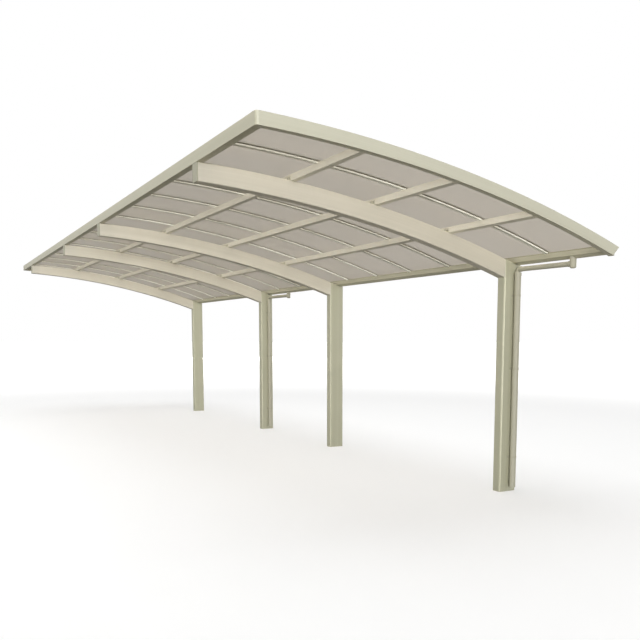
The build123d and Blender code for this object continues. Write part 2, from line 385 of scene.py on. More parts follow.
@dataclass(frozen=True)
class ScrewHead:
    """A screw head with a driver recess, whose lesser sizes are shares of the main ones."""

    radius: float
    height: float
    sides: int = 10
    slope_share: float = 0.22
    crown_share: float = 0.25
    flat_share: float = 0.38
    recess_share: float = 0.6
    top_facing: float = 0.9
    smooth_below: float = math.radians(35)

    def model(self) -> Piece:
        """Model the head standing on the origin.

        Returns:
            The head, to be copied and then thrown away.
        """
        Workshop.clear()
        bpy.ops.mesh.primitive_cylinder_add(
            vertices=self.sides,
            radius=self.radius,
            depth=self.height,
            location=(0.0, 0.0, self.height / 2),
        )
        piece = Workshop.sized((1.0, 1.0, 1.0))
        Workshop.pick_faces(piece, lambda face: face.normal.z > self.top_facing)
        bpy.ops.mesh.inset(
            thickness=self.radius * self.slope_share, depth=self.height * self.crown_share
        )
        bpy.ops.mesh.inset(thickness=self.radius * self.flat_share, depth=0.0)
        sink = (0.0, 0.0, -self.height * self.recess_share)
        bpy.ops.mesh.extrude_region_move(TRANSFORM_OT_translate={"value": sink})
        Workshop.put_down()
        bpy.ops.object.shade_smooth_by_angle(angle=self.smooth_below)
        return piece


def fit(
    name: str, parts: list[Piece], material: bpy.types.Material
) -> None:
    """Join parts into one named piece, and finish it.

    Args:
        name: the piece's name.
        parts: what it is joined from, two at least.
        material: its material.
    """
    Workshop.clear()
    for part in parts:
        part.select_set(True)
    piece = parts[0]
    bpy.context.view_layer.objects.active = piece
    bpy.ops.object.join()
    piece.name = name
    piece.data.name = name
    piece.data.materials.clear()
    piece.data.materials.append(material)
    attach(piece, BODY)
    LOG.info("%s: %d faces", piece.name, len(piece.data.polygons))


# ---------------------------------------------------------------------------- materials


class Run(Enum):
    """Which way the die lines of an extrusion run."""

    UPRIGHT = "upright"
    LENGTHWISE = "lengthwise"
    CURVED = "curved"
    PLAIN = "plain"


class Board:
    """One node tree, with short ways to place and link its nodes."""

    column_width = 180

    def __init__(self, tree: bpy.types.NodeTree) -> None:
        """Take a node tree to work on, and empty it.

        Args:
            tree: the node tree.
        """
        self.tree = tree
        self.column = 0
        tree.nodes.clear()

    def feed(self, target: Socket, value: object) -> None:
        """Link a socket to an input, or set the input to a plain value.

        Args:
            target: the input.
            value: a socket, or the value that the input is to hold.
        """
        if isinstance(value, Socket):
            self.tree.links.new(value, target)
        else:
            target.default_value = value

    def add(self, kind: str, **values: object) -> bpy.types.Node:
        """Place a node.

        Args:
            kind: the node's type name.
            values: settings of the node, or what its inputs are fed, with _ for a space.

        Returns:
            The new node.
        """
        node = self.tree.nodes.new(kind)
        node.location = (self.column * self.column_width, 0)
        self.column += 1
        for name, value in values.items():
            if hasattr(node, name):
                setattr(node, name, value)
            else:
                self.feed(node.inputs[name.replace("_", " ")], value)
        return node

    def compute(self, kind: str, operation: str, *values: object) -> bpy.types.Node:
        """Place a Math or Vector Math node.

        Args:
            kind: the node's type name.
            operation: what it does.
            values: a socket or a value for each input that the operation takes.

        Returns:
            The new node.
        """
        node = self.add(kind, operation=operation)
        for target, value in zip(node.inputs, values):
            self.feed(target, value)
        return node

    def maths(self, operation: str, *values: object) -> Socket:
        """Result of a Math node on sockets and numbers."""
        return self.compute("ShaderNodeMath", operation, *values).outputs[0]

    def vector(self, operation: str, *values: object) -> Socket:
        """Result of a Vector Math node that gives a vector."""
        return self.compute("ShaderNodeVectorMath", operation, *values).outputs["Vector"]

    def length(self, value: Socket) -> Socket:
        """Length of a vector."""
        return self.compute("ShaderNodeVectorMath", "LENGTH", value).outputs["Value"]

    def noise(self, place: Socket, **values: object) -> Socket:
        """Noise of 0 to 1 at coordinates, with what its other inputs are fed."""
        return self.add("ShaderNodeTexNoise", Vector=place, **values).outputs["Fac"]

    def split(self, vector: Socket) -> bpy.types.bpy_prop_collection:
        """X, Y and Z of a vector, by name."""
        return self.add("ShaderNodeSeparateXYZ", Vector=vector).outputs

    def mix(self, factor: Socket, first: object, second: object) -> Socket:
        """Blend two colours by a mask.

        Args:
            factor: the mask.
            first: a socket or a colour shown where the mask is 0.
            second: a socket or a colour shown where the mask is 1.

        Returns:
            The blended colour.
        """
        node = self.add("ShaderNodeMix", data_type="RGBA", Factor=factor)
        colours = [socket for socket in node.inputs if socket.type == "RGBA"]
        self.feed(colours[0], first)
        self.feed(colours[1], second)
        return [socket for socket in node.outputs if socket.type == "RGBA"][0]

    def ramp(
        self, value: Socket, given: Span, wanted: Span = (0.0, 1.0), smooth: bool = False
    ) -> Socket:
        """Carry one range of values over to another, held at both ends.

        Args:
            value: what is read.
            given: the range that is read.
            wanted: what that range becomes.
            smooth: whether the change eases in and out.

        Returns:
            The carried value.
        """
        kind = "SMOOTHSTEP" if smooth else "LINEAR"
        node = self.add("ShaderNodeMapRange", clamp=True, interpolation_type=kind, Value=value)
        for label, number in zip(("From Min", "From Max", "To Min", "To Max"), (*given, *wanted)):
            node.inputs[label].default_value = number
        return node.outputs[0]


class Effects:
    """Shader node groups that several finishes share, each built once."""

    line_share: float = 0.35
    band_share: float = 0.65
    band_scale: float = 0.16
    line_range: Span = (0.34, 0.66)
    speck_scale: float = 60.0
    speck_swing: float = 0.5
    speck_least: float = 0.75
    patch_range: Span = (0.35, 0.72)
    facing_range: Span = (-0.2, 1.0)
    facing_dust: Span = (0.35, 1.0)

    @staticmethod
    def start(
        name: str, vectors: tuple[str, ...], numbers: tuple[str, ...], gives: tuple[str, ...]
    ) -> Board:
        """Make an empty group with named sockets.

        Args:
            name: the group's name.
            vectors: its vector inputs.
            numbers: its number inputs.
            gives: its outputs, which are numbers.

        Returns:
            A board on the group's tree.
        """
        tree = bpy.data.node_groups.new(name, "ShaderNodeTree")
        sockets = [(label, "INPUT", "NodeSocketVector") for label in vectors]
        sockets += [(label, "INPUT", "NodeSocketFloat") for label in numbers]
        sockets += [(label, "OUTPUT", "NodeSocketFloat") for label in gives]
        for label, side, kind in sockets:
            tree.interface.new_socket(name=label, in_out=side, socket_type=kind)
        return Board(tree)

    @classmethod
    @cache
    def die_lines(cls) -> bpy.types.NodeTree:
        """Fine lines that an extrusion die leaves along a length of aluminium.

        Returns:
            A group from stretched coordinates to a tone of 0 to 1 and a height.
        """
        board = cls.start("Die lines", ("Vector",), ("Scale",), ("Tone", "Height"))
        entry = board.add("NodeGroupInput").outputs
        lines = board.noise(entry["Vector"], Scale=entry["Scale"], Detail=3.0, Roughness=0.6)
        wide = board.maths("MULTIPLY", entry["Scale"], cls.band_scale)
        bands = board.noise(entry["Vector"], Scale=wide, Detail=2.0, Roughness=0.5)
        tone = board.maths("MULTIPLY", lines, cls.line_share)
        tone = board.maths("MULTIPLY_ADD", bands, cls.band_share, tone)
        board.add("NodeGroupOutput", Tone=board.ramp(tone, cls.line_range), Height=lines)
        return board.tree

    @classmethod
    @cache
    def weathering(cls) -> bpy.types.NodeTree:
        """Soft patches of dust and dried rain, thicker on faces that look up.

        Returns:
            A group from object coordinates and a normal to a mask of 0 to 1.
        """
        board = cls.start("Weathering", ("Vector", "Normal"), ("Patch Size", "Amount"), ("Mask",))
        entry = board.add("NodeGroupInput").outputs
        size = entry["Patch Size"]
        cloud = board.noise(entry["Vector"], Scale=size, Detail=5.0, Roughness=0.62)
        speck = board.noise(entry["Vector"], Scale=cls.speck_scale, Detail=2.0)
        level = board.ramp(board.split(entry["Normal"])["Z"], cls.facing_range, cls.facing_dust)
        patch = board.ramp(cloud, cls.patch_range)
        grit = board.maths("MULTIPLY_ADD", speck, cls.speck_swing, cls.speck_least)
        mask = board.maths("MULTIPLY", board.maths("MULTIPLY", patch, level), grit)
        board.add("NodeGroupOutput", Mask=board.maths("MULTIPLY", mask, entry["Amount"]))
        return board.tree


class Paint(Board):
    """A material's node tree, with its object coordinates and steps that finishes share."""

    def __init__(self, material: bpy.types.Material) -> None:
        """Take a material to work on.

        Args:
            material: the material, whose nodes are replaced.
        """
        material.use_nodes = True
        super().__init__(material.node_tree)
        self.place = self.add("ShaderNodeTexCoord").outputs["Object"]

    def cloud(self, scale: float, detail: float = 2.0) -> Socket:
        """Noise of 0 to 1 on the object coordinates."""
        return self.noise(self.place, Scale=scale, Detail=detail)

    def dust(self, patch_size: float, amount: float) -> Socket:
        """Place the weathering group.

        Args:
            patch_size: scale of its patches.
            amount: how thick it lies.

        Returns:
            Its mask.
        """
        node = self.add(
            "ShaderNodeGroup",
            node_tree=Effects.weathering(),
            Vector=self.place,
            Normal=self.add("ShaderNodeNewGeometry").outputs["Normal"],
            Patch_Size=patch_size,
            Amount=amount,
        )
        return node.outputs["Mask"]

    def bump(self, height: Socket, strength: float, distance: float) -> Socket:
        """Normal that a height gives, with a strength and a depth in metres."""
        node = self.add("ShaderNodeBump", Strength=strength, Distance=distance, Height=height)
        return node.outputs["Normal"]


@dataclass(frozen=True)
class Finish:
    """A named finish, whose own class says what its surface is like."""

    name: str

    def surface(self, paint: Paint) -> dict[str, object]:
        """Give a socket or a value for each shader input that is not left plain."""
        raise NotImplementedError

    def build(self) -> bpy.types.Material:
        """Build the finish's material.

        Returns:
            The material, which has one Principled BSDF.
        """
        material = bpy.data.materials.new(self.name)
        paint = Paint(material)
        shader = paint.add("ShaderNodeBsdfPrincipled")
        for label, value in self.surface(paint).items():
            paint.feed(shader.inputs[label], value)
        paint.add("ShaderNodeOutputMaterial", Surface=shader.outputs["BSDF"])
        return material


@dataclass(frozen=True)
class Anodised(Finish):
    """Satin champagne anodised aluminium with die lines along the extrusion."""

    clean: Colour = linear(204, 202, 183)
    deep: Colour = linear(196, 194, 174)
    dusty: Colour = linear(190, 186, 169)
    run: Run = Run.PLAIN
    metal: float = 0.25
    gloss: float = 0.42
    line_scale: float = 260.0
    line_squeeze: float = 0.01
    line_rough: float = 0.10
    centre: Span = (0.0, 0.0)
    patch_size: float = 2.4
    dust: float = 0.5
    dust_rough: float = 0.22
    cap: Colour | None = None
    cap_radius: float = 9.7515

    def from_axis(self, paint: Paint) -> tuple[Socket, bpy.types.bpy_prop_collection]:
        """Measure from the roof's axis.

        Args:
            paint: the material's node tree.

        Returns:
            The distance from the axis, and X, Y and Z measured from it, by name.
        """
        apart = paint.vector("SUBTRACT", paint.place, (self.centre[0], 0.0, self.centre[1]))
        flat = paint.vector("MULTIPLY", apart, (1.0, 0.0, 1.0))
        return paint.length(flat), paint.split(apart)

    def stretched(self, paint: Paint) -> Socket:
        """Squeeze coordinates along the extrusion, so that noise turns into long lines.

        Args:
            paint: the material's node tree.

        Returns:
            The squeezed coordinates.
        """
        thin = self.line_squeeze
        if self.run is Run.CURVED:
            radius, apart = self.from_axis(paint)
            along = paint.maths("MULTIPLY", apart["X"], thin)
            return paint.add("ShaderNodeCombineXYZ", X=radius, Y=apart["Y"], Z=along).outputs[0]
        scales = {
            Run.UPRIGHT: (1.0, 1.0, thin),
            Run.LENGTHWISE: (1.0, thin, 1.0),
            Run.PLAIN: (1.0, 1.0, 1.0),
        }
        squeezed = paint.add("ShaderNodeMapping", Vector=paint.place, Scale=scales[self.run])
        return squeezed.outputs[0]

    def surface(self, paint: Paint) -> dict[str, object]:
        """Describe lined, lightly dusted metal, with a second colour above the sheets.

        Args:
            paint: the material's node tree.

        Returns:
            What the shader's inputs take.
        """
        lines = paint.add(
            "ShaderNodeGroup",
            node_tree=Effects.die_lines(),
            Vector=self.stretched(paint),
            Scale=self.line_scale,
        ).outputs
        tone = lines["Tone"]
        dust = paint.dust(self.patch_size, self.dust)
        metal = paint.mix(tone, self.deep, self.clean)
        # For the roof bars the colour below the sheets is a painted highlight, and the second colour
        # above them is the metal's own.
        if self.cap:
            above = paint.maths("GREATER_THAN", self.from_axis(paint)[0], self.cap_radius)
            metal = paint.mix(above, metal, self.cap)
        least = self.gloss - self.line_rough / 2
        rough = paint.maths("MULTIPLY_ADD", tone, self.line_rough, least)
        return {
            "Base Color": paint.mix(dust, metal, self.dusty),
            "Roughness": paint.maths("MULTIPLY_ADD", dust, self.dust_rough, rough),
            "Normal": paint.bump(lines["Height"], strength=0.12, distance=0.0003),
            "Metallic": self.metal,
        }


@dataclass(frozen=True)
class SmokedSheet(Finish):
    """Thin smoky polycarbonate: light comes through it, tinted warm grey."""

    tint: Colour = linear(192, 185, 174)
    deeper: Colour = linear(188, 181, 170)
    cloud_scale: float = 1.1
    ripple_scale: float = 7.0
    gloss: float = 0.30
    patch_size: float = 1.6
    dust: float = 0.35
    dust_rough: float = 0.25
    refraction: float = 1.1

    def surface(self, paint: Paint) -> dict[str, object]:
        """Describe a clear, faintly clouded and rippled sheet.

        Args:
            paint: the material's node tree.

        Returns:
            What the shader's inputs take.
        """
        dust = paint.dust(self.patch_size, self.dust)
        return {
            "Base Color": paint.mix(paint.cloud(self.cloud_scale), self.deeper, self.tint),
            "Roughness": paint.maths("MULTIPLY_ADD", dust, self.dust_rough, self.gloss),
            "Normal": paint.bump(paint.cloud(self.ripple_scale), strength=0.15, distance=0.002),
            "Transmission Weight": 1.0,
            "IOR": self.refraction,
        }


@dataclass(frozen=True)
class Rubber(Finish):
    """Dark weather seal with a faint bloom."""

    dark: Colour = linear(134, 128, 106)
    bloom: Colour = linear(148, 142, 120)
    bloom_scale: float = 35.0
    bloom_rough: float = 0.2
    gloss: float = 0.6
    grain_scale: float = 900.0

    def surface(self, paint: Paint) -> dict[str, object]:
        """Describe matt, finely grained rubber.

        Args:
            paint: the material's node tree.

        Returns:
            What the shader's inputs take.
        """
        cloud = paint.cloud(self.bloom_scale, detail=4.0)
        return {
            "Base Color": paint.mix(cloud, self.dark, self.bloom),
            "Roughness": paint.maths("MULTIPLY_ADD", cloud, self.bloom_rough, self.gloss),
            "Normal": paint.bump(paint.cloud(self.grain_scale), strength=0.2, distance=0.0002),
        }


@dataclass(frozen=True)
class Steel(Finish):
    """Stainless screws and bolts, brushed round by their drivers."""

    bright: Colour = linear(205, 203, 196)
    worn: Colour = linear(150, 147, 139)
    wear_scale: float = 400.0
    wear_rough: float = 0.25
    gloss: float = 0.2
    metal: float = 0.9

    def surface(self, paint: Paint) -> dict[str, object]:
        """Describe bright metal that is worn in places.

        Args:
            paint: the material's node tree.

        Returns:
            What the shader's inputs take.
        """
        cloud = paint.cloud(self.wear_scale, detail=3.0)
        return {
            "Base Color": paint.mix(cloud, self.worn, self.bright),
            "Roughness": paint.maths("MULTIPLY_ADD", cloud, self.wear_rough, self.gloss),
            "Metallic": self.metal,
        }


@dataclass(frozen=True)
class PipePlastic(Finish):
    """Moulded champagne plastic of the rainwater pipes and end caps."""

    clean: Colour = linear(166, 163, 144)
    chalk: Colour = linear(176, 173, 155)
    gloss: float = 0.46
    patch_size: float = 5.0
    dust: float = 0.9
    dust_rough: float = 0.3
    skin_scale: float = 520.0

    def surface(self, paint: Paint) -> dict[str, object]:
        """Describe satin plastic that has chalked where it weathers.

        Args:
            paint: the material's node tree.

        Returns:
            What the shader's inputs take.
        """
        dust = paint.dust(self.patch_size, self.dust)
        return {
            "Base Color": paint.mix(dust, self.clean, self.chalk),
            "Roughness": paint.maths("MULTIPLY_ADD", dust, self.dust_rough, self.gloss),
            "Normal": paint.bump(paint.cloud(self.skin_scale), strength=0.1, distance=0.0002),
        }


@dataclass(frozen=True)
class StudioFloor(Finish):
    """Pale floor: white to the camera where no shadow falls, and little light thrown back up."""

    pale: Colour = (0.46, 0.46, 0.455, 1.0)
    paler: Colour = (0.49, 0.49, 0.485, 1.0)
    bounce: Colour = (0.135, 0.122, 0.090, 1.0)
    speck_scale: float = 3.0
    roughness: float = 0.9
    lift: float = 0.52
    far_lift: float = 1.0
    near: float = 7.0
    far: float = 17.0
    mirrored: float = 0.35

    def surface(self, paint: Paint) -> dict[str, object]:
        """Describe a floor that brightens away from the carport.

        Args:
            paint: the material's node tree.

        Returns:
            What the shader's inputs take.
        """
        path = paint.add("ShaderNodeLightPath").outputs
        tone = paint.mix(paint.cloud(self.speck_scale), self.pale, self.paler)
        seen = paint.maths("MAXIMUM", path["Is Camera Ray"], path["Is Transmission Ray"])
        mirror = paint.maths("MULTIPLY", path["Is Glossy Ray"], self.mirrored)
        seen = paint.maths("MAXIMUM", seen, mirror)
        away = paint.length(paint.place)
        fade = paint.ramp(away, (self.near, self.far), (self.lift, self.far_lift), smooth=True)
        return {
            "Base Color": paint.mix(path["Is Camera Ray"], self.bounce, tone),
            "Roughness": self.roughness,
            "Emission Color": WHITE,
            "Emission Strength": paint.maths("MULTIPLY", seen, fade),
        }


# ---------------------------------------------------------------------------- the dressing


def dress(finish: Finish, *patterns: str) -> None:
    """Give CAD nodes a finish in place of their plain one.

    Args:
        finish: the finish.
        patterns: names of the nodes, with * for what varies.
    """
    material = finish.build()
    for node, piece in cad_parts.items():
        if any(fnmatchcase(node, pattern) for pattern in patterns):
            piece.data.materials.clear()
            piece.data.materials.append(material)
            LOG.info("%s: %s", node, finish.name)


@dataclass
class Frames:
    """Posts, beams, purlins, rims and gutters: the aluminium that carries the roof."""

    arc: RoofArc

    def build(self) -> None:
        """Dress the aluminium, whose one champagne colour is given in painted lit and shaded copies,
        and then the plastic caps on its ends.
        """
        # Posts: the champagne metal darkened as painted shade.
        upright = Anodised(
            "Champagne aluminium upright painted shade",
            clean=linear(184, 183, 160),
            deep=linear(173, 172, 148),
            run=Run.UPRIGHT,
        )
        # Eave and gutters: the champagne metal slightly darkened as painted shade on these
        # left-facing faces.
        eave = Anodised(
            "Champagne aluminium eave painted shade",
            clean=linear(190, 187, 165),
            deep=linear(180, 177, 154),
            run=Run.LENGTHWISE,
        )
        # Purlins: the champagne metal lightened as painted light, for their lit faces under the
        # sheets.
        purlin = Anodised(
            "Champagne aluminium purlin painted light",
            clean=linear(229, 225, 211),
            deep=linear(220, 216, 201),
            run=Run.LENGTHWISE,
        )
        # Beams: the champagne metal lightened as painted light, for their lit front faces.
        beam = Anodised(
            "Champagne aluminium beam painted light",
            clean=linear(211, 206, 192),
            deep=linear(202, 197, 182),
            run=Run.CURVED,
            centre=self.arc.centre,
        )
        gable = Anodised("Champagne aluminium gable", run=Run.CURVED, centre=self.arc.centre)
        cap = PipePlastic(
            "End cap plastic", clean=linear(160, 158, 138), chalk=linear(170, 168, 149)
        )
        dress(upright, "post_*")
        dress(eave, "left_eave_*", "gutter_*")
        dress(purlin, "purlin_*")
        dress(beam, "beam_*")
        dress(gable, "*_gable_frame", "*_edge_bar")
        dress(cap, "*_end_cap*")


@dataclass
class Roof:
    """Roof bars and the smoky sheets that they clamp."""

    arc: RoofArc

    def build(self) -> None:
        """Dress the bars, whose undersides are painted near white as a painted highlight while their
        caps keep the champagne colour, and the sheets.
        """
        bars = Anodised(
            # Near-white colour below the sheets is a painted highlight on the bars' fronts; the cap
            # colour above is the metal's own.
            "Bar aluminium painted highlight",
            clean=linear(250, 251, 244),
            deep=linear(243, 244, 235),
            metal=0.05,
            cap=linear(200, 198, 179),
            run=Run.CURVED,
            centre=self.arc.centre,
        )
        dress(bars, "roof_bars_*", "unit_joint_bar")
        dress(SmokedSheet("Smoky sheet"), "roof_sheets_*")


@dataclass
class Drains:
    """Outlets, link pipes and downpipes."""

    def build(self) -> None:
        """Dress the rainwater goods."""
        dress(PipePlastic("Rain pipe plastic"), "drain_*", "downpipe_*")


# ---------------------------------------------------------------------------- the small pieces


@dataclass
class Layout:
    """Places along and across the carport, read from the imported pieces."""

    bar_half: float = 0.018
    cap_half: float = 0.022
    joint_half: float = 0.040
    bar_pitch: float = 0.625

    def bar_lines(self, unit: str) -> list[float]:
        """Find the middles of a unit's plain roof bars.

        Args:
            unit: front or rear.

        Returns:
            Y of each bar.
        """
        low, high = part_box(f"roof_bars_{unit}")
        first = low.y + self.cap_half
        count = round((high.y - self.cap_half - first) / self.bar_pitch) + 1
        return [first + self.bar_pitch * step for step in range(count)]

    def bar_ends(self) -> Span:
        """X of the left and right ends of the bars."""
        low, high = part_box("roof_bars_front")
        return low.x, high.x

    def joint_line(self) -> float:
        """Y of the bar over the joint of the two units."""
        return middle(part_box("unit_joint_bar"))[1]

    def edge_line(self, unit: str) -> float:
        """Y of the inner side of the bar along a unit's gable."""
        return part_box("front_edge_bar")[1].y if unit == "front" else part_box("rear_edge_bar")[0].y

    def purlin_line(self, name: str) -> float:
        """X of a purlin's middle."""
        return middle(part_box(f"purlin_{name}_front"))[0]

    def beam_line(self, number: int) -> float:
        """Y of a beam's middle."""
        return middle(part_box(f"beam_{number}"))[1]


@dataclass
class BarSeals:
    """Rubber beads that the sheets rest on, either side of every roof bar."""

    arc: RoofArc
    layout: Layout
    bead: float = 0.0014
    bedding: float = 0.0002
    end_gap: float = 0.012
    corners: int = 6
    steps: int = 18

    def bead_at(self, y: float, ends: Span) -> Piece:
        """Sweep one bead along the underside of a sheet.

        Args:
            y: the middle of the bead.
            ends: X of its left and right ends.

        Returns:
            The bead, closed at both ends.
        """
        radius = self.arc.sheet + (self.bedding - self.bead) / 2
        start, end = (self.arc.angle(x, radius) for x in ends)
        Workshop.clear()
        bpy.ops.mesh.primitive_circle_add(
            vertices=self.corners,
            radius=0.5,
            fill_type="NGON",
            location=self.arc.point(start, radius, y),
            rotation=(0.0, math.pi / 2 + start, 0.0),
        )
        piece = Workshop.sized((self.bead + self.bedding, self.bead, 1.0))
        centre = Vector((self.arc.centre_x, 0.0, self.arc.centre_z))
        Workshop.spin(self.steps, end - start, centre, -REARWARD)
        Workshop.close_up()
        return piece

    def build(self) -> None:
        """Make a set of beads for each unit."""
        rubber = Rubber("Weather seal").build()
        left, right = self.layout.bar_ends()
        ends = (left + self.end_gap, right - self.end_gap)
        half = self.bead / 2
        for unit, away in zip(UNITS, SIDES):
            reach = self.layout.bar_half + half
            lines = [y + side * reach for y in self.layout.bar_lines(unit) for side in SIDES]
            lines.append(self.layout.joint_line() + away * (self.layout.joint_half + half))
            lines.append(self.layout.edge_line(unit) - away * half)
            fit(f"bar_seals_{unit}", [self.bead_at(y, ends) for y in lines], rubber)


@dataclass
class SheetClosures:
    """Strips that fill the gap under the ends of the sheets, between the bars."""

    arc: RoofArc
    layout: Layout
    eave_inset: float = 0.004
    rail_inset: float = 0.002
    depth: float = 0.012
    clearance: float = 0.001
    rounding: float = 0.0012

    def stops(self, unit: str) -> list[Span]:
        """List what the strips of a unit stop at.

        Args:
            unit: front or rear.

        Returns:
            Y and half the width of each bar, from front to rear.
        """
        bars = [(y, self.layout.bar_half) for y in self.layout.bar_lines(unit)]
        joint = (self.layout.joint_line(), self.layout.joint_half)
        edge = (self.layout.edge_line(unit), 0.0)
        return [edge, *bars, joint] if unit == "front" else [joint, *bars, edge]

    def strips(self, x: float, stops: list[Span]) -> list[Piece]:
        """Make the strips that stand across the slope at one end of the sheets.

        Args:
            x: X of their left side.
            stops: Y and half the width of each bar.

        Returns:
            A strip for each gap between two bars.
        """
        right = x + self.depth
        low = self.arc.height(right, self.arc.base)
        high = self.arc.height(right, self.arc.sheet)
        made = []
        for (here, half), (there, other) in zip(stops, stops[1:]):
            front = Vector((x, here + half + self.clearance, low))
            rear = Vector((right, there - other - self.clearance, high))
            made.append(Workshop.block(front, rear, self.rounding))
        return made

    def build(self) -> None:
        """Make the strips of each unit, along the eave and along the gutter."""
        foam = Rubber(
            "Closure strip", dark=linear(150, 147, 124), bloom=linear(166, 162, 140)
        ).build()
        eave = self.layout.bar_ends()[0] + self.eave_inset
        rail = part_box("gutter_rail_front")[0].x + self.rail_inset
        for unit in UNITS:
            stops = self.stops(unit)
            fit(f"eave_closure_{unit}", self.strips(eave, stops), foam)
            fit(f"gutter_closure_{unit}", self.strips(rail, stops), foam)


@dataclass
class CapScrews:
    """Pan-head screws down the caps of the bars, one over each purlin and rim."""

    arc: RoofArc
    layout: Layout
    head: ScrewHead = ScrewHead(radius=0.0055, height=0.0032)
    bedding: float = 0.0004
    left_inset: float = 0.03
    right_inset: float = 0.02
    joint_spread: float = 0.032

    def places(self, ys: list[float]) -> list[tuple[Vector, Vector]]:
        """Find where screws stand on a set of bars.

        Args:
            ys: the lines that they stand on.

        Returns:
            The place of each screw and the way it points.
        """
        left, right = self.layout.bar_ends()
        purlins = [self.layout.purlin_line(name) for name in PURLINS]
        found = []
        for x in (left + self.left_inset, *purlins, right - self.right_inset):
            angle = self.arc.angle(x, self.arc.cap)
            seat = self.arc.cap - self.bedding
            found += [(self.arc.point(angle, seat, y), self.arc.outward(angle)) for y in ys]
        return found

    def build(self) -> None:
        """Stand the screws on each unit's bars and on the joint bar."""
        steel = Steel("Stainless screws").build()
        master = self.head.model()
        joint = self.layout.joint_line()
        sets = {f"cap_screws_{unit}": self.layout.bar_lines(unit) for unit in UNITS}
        sets["joint_bar_screws"] = [joint + side * self.joint_spread for side in SIDES]
        for name, ys in sets.items():
            fit(name, Workshop.copies(master, self.places(ys)), steel)
        bpy.data.objects.remove(master)


@dataclass
class PurlinCleats:
    """Small angle cleats that hold each purlin down on each beam."""

    arc: RoofArc
    layout: Layout
    purlin_half: float = 0.020
    purlin_depth: float = 0.050
    play: float = 0.0002
    length: float = 0.060
    leg: float = 0.026
    rise: float = 0.034
    plate: float = 0.003
    rounding: float = 0.0008
    head: ScrewHead = ScrewHead(radius=0.005, height=0.0028)
    screw_offset: float = 0.017
    screw_share: float = 0.62
    side_facing: float = 0.9

    def master(self) -> Piece:
        """Model one cleat on the origin, with its web up Z and its foot along X.

        Returns:
            The cleat, to be copied and then thrown away.
        """
        Workshop.clear()
        bpy.ops.mesh.primitive_cube_add(size=1.0, location=(self.plate / 2, 0.0, self.rise / 2))
        piece = Workshop.sized((self.plate, self.length, self.rise))
        bpy.ops.object.mode_set(mode="EDIT")
        bpy.ops.mesh.select_all(action="SELECT")
        bpy.ops.mesh.bisect(plane_co=UP * self.plate, plane_no=UP)
        bpy.ops.object.mode_set(mode="OBJECT")
        Workshop.pick_faces(
            piece, lambda face: face.normal.x > self.side_facing and face.center.z < self.plate
        )
        reach = (self.leg - self.plate, 0.0, 0.0)
        bpy.ops.mesh.extrude_region_move(TRANSFORM_OT_translate={"value": reach})
        Workshop.put_down()
        Workshop.soften(piece, self.rounding)
        return piece

    def seat(self, x: float, y: float, side: float) -> Matrix:
        """Find where a cleat stands beside a purlin.

        Args:
            x: the purlin's middle.
            y: the beam's middle.
            side: -1 for the eave side of the purlin and 1 for the post side.

        Returns:
            The cleat's place, with X away from the purlin and Z square to the roof.
        """
        angle = self.arc.angle(x, self.arc.base - self.purlin_depth / 2)
        away = Vector((math.cos(angle), 0.0, -math.sin(angle))) * side
        upward = self.arc.outward(angle)
        start = self.arc.point(angle, self.arc.base - self.purlin_depth, y)
        start += away * (self.purlin_half + self.play) + upward * self.play
        return Workshop.placed(start, (away, REARWARD * side, upward))

    def heads(self) -> list[tuple[Vector, Vector]]:
        """Find where the screws stand on one cleat.

        Returns:
            The place of each screw on the cleat and the way it points.
        """
        found = []
        for offset in (-self.screw_offset, self.screw_offset):
            web = Vector((self.plate, offset, self.rise * self.screw_share))
            foot = Vector((self.leg * self.screw_share, offset, self.plate))
            found += [(web, RIGHT), (foot, UP)]
        return found

    def build(self) -> None:
        """Put two cleats at every crossing, with their screws."""
        metal = Anodised("Cleat aluminium", run=Run.LENGTHWISE, line_scale=180.0).build()
        steel = Steel("Cleat screws").build()
        cleat = self.master()
        screw = self.head.model()
        for number in POSTS:
            y = self.layout.beam_line(number)
            xs = [self.layout.purlin_line(name) for name in PURLINS]
            cleats = []
            screws = []
            for seat in [self.seat(x, y, side) for x in xs for side in SIDES]:
                cleats.append(Workshop.copy_at(cleat, seat))
                for copy in Workshop.copies(screw, self.heads()):
                    copy.data.transform(seat)
                    screws.append(copy)
            fit(f"beam_{number}_cleats", cleats, metal)
            fit(f"beam_{number}_cleat_screws", screws, steel)
        bpy.data.objects.remove(cleat)
        bpy.data.objects.remove(screw)


@dataclass
class PostBolts:
    """Bolts that hold each beam to its post, on the post's rear side only."""

    head: ScrewHead = ScrewHead(radius=0.0085, height=0.005, sides=14)
    from_side: Span = (0.040, 0.135)
    from_top: Span = (0.115, 0.062)

    def build(self) -> None:
        """Put four bolts in the rear side of each post head."""
        steel = Steel("Post bolts", bright=linear(198, 195, 178), worn=linear(160, 157, 140)).build()
        master = self.head.model()
        for number in POSTS:
            low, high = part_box(f"post_{number}")
            places = [
                (Vector((low.x + inset, high.y, high.z - drop)), REARWARD)
                for inset in self.from_side
                for drop in self.from_top
            ]
            fit(f"post_{number}_bolts", Workshop.copies(master, places), steel)
        bpy.data.objects.remove(master)


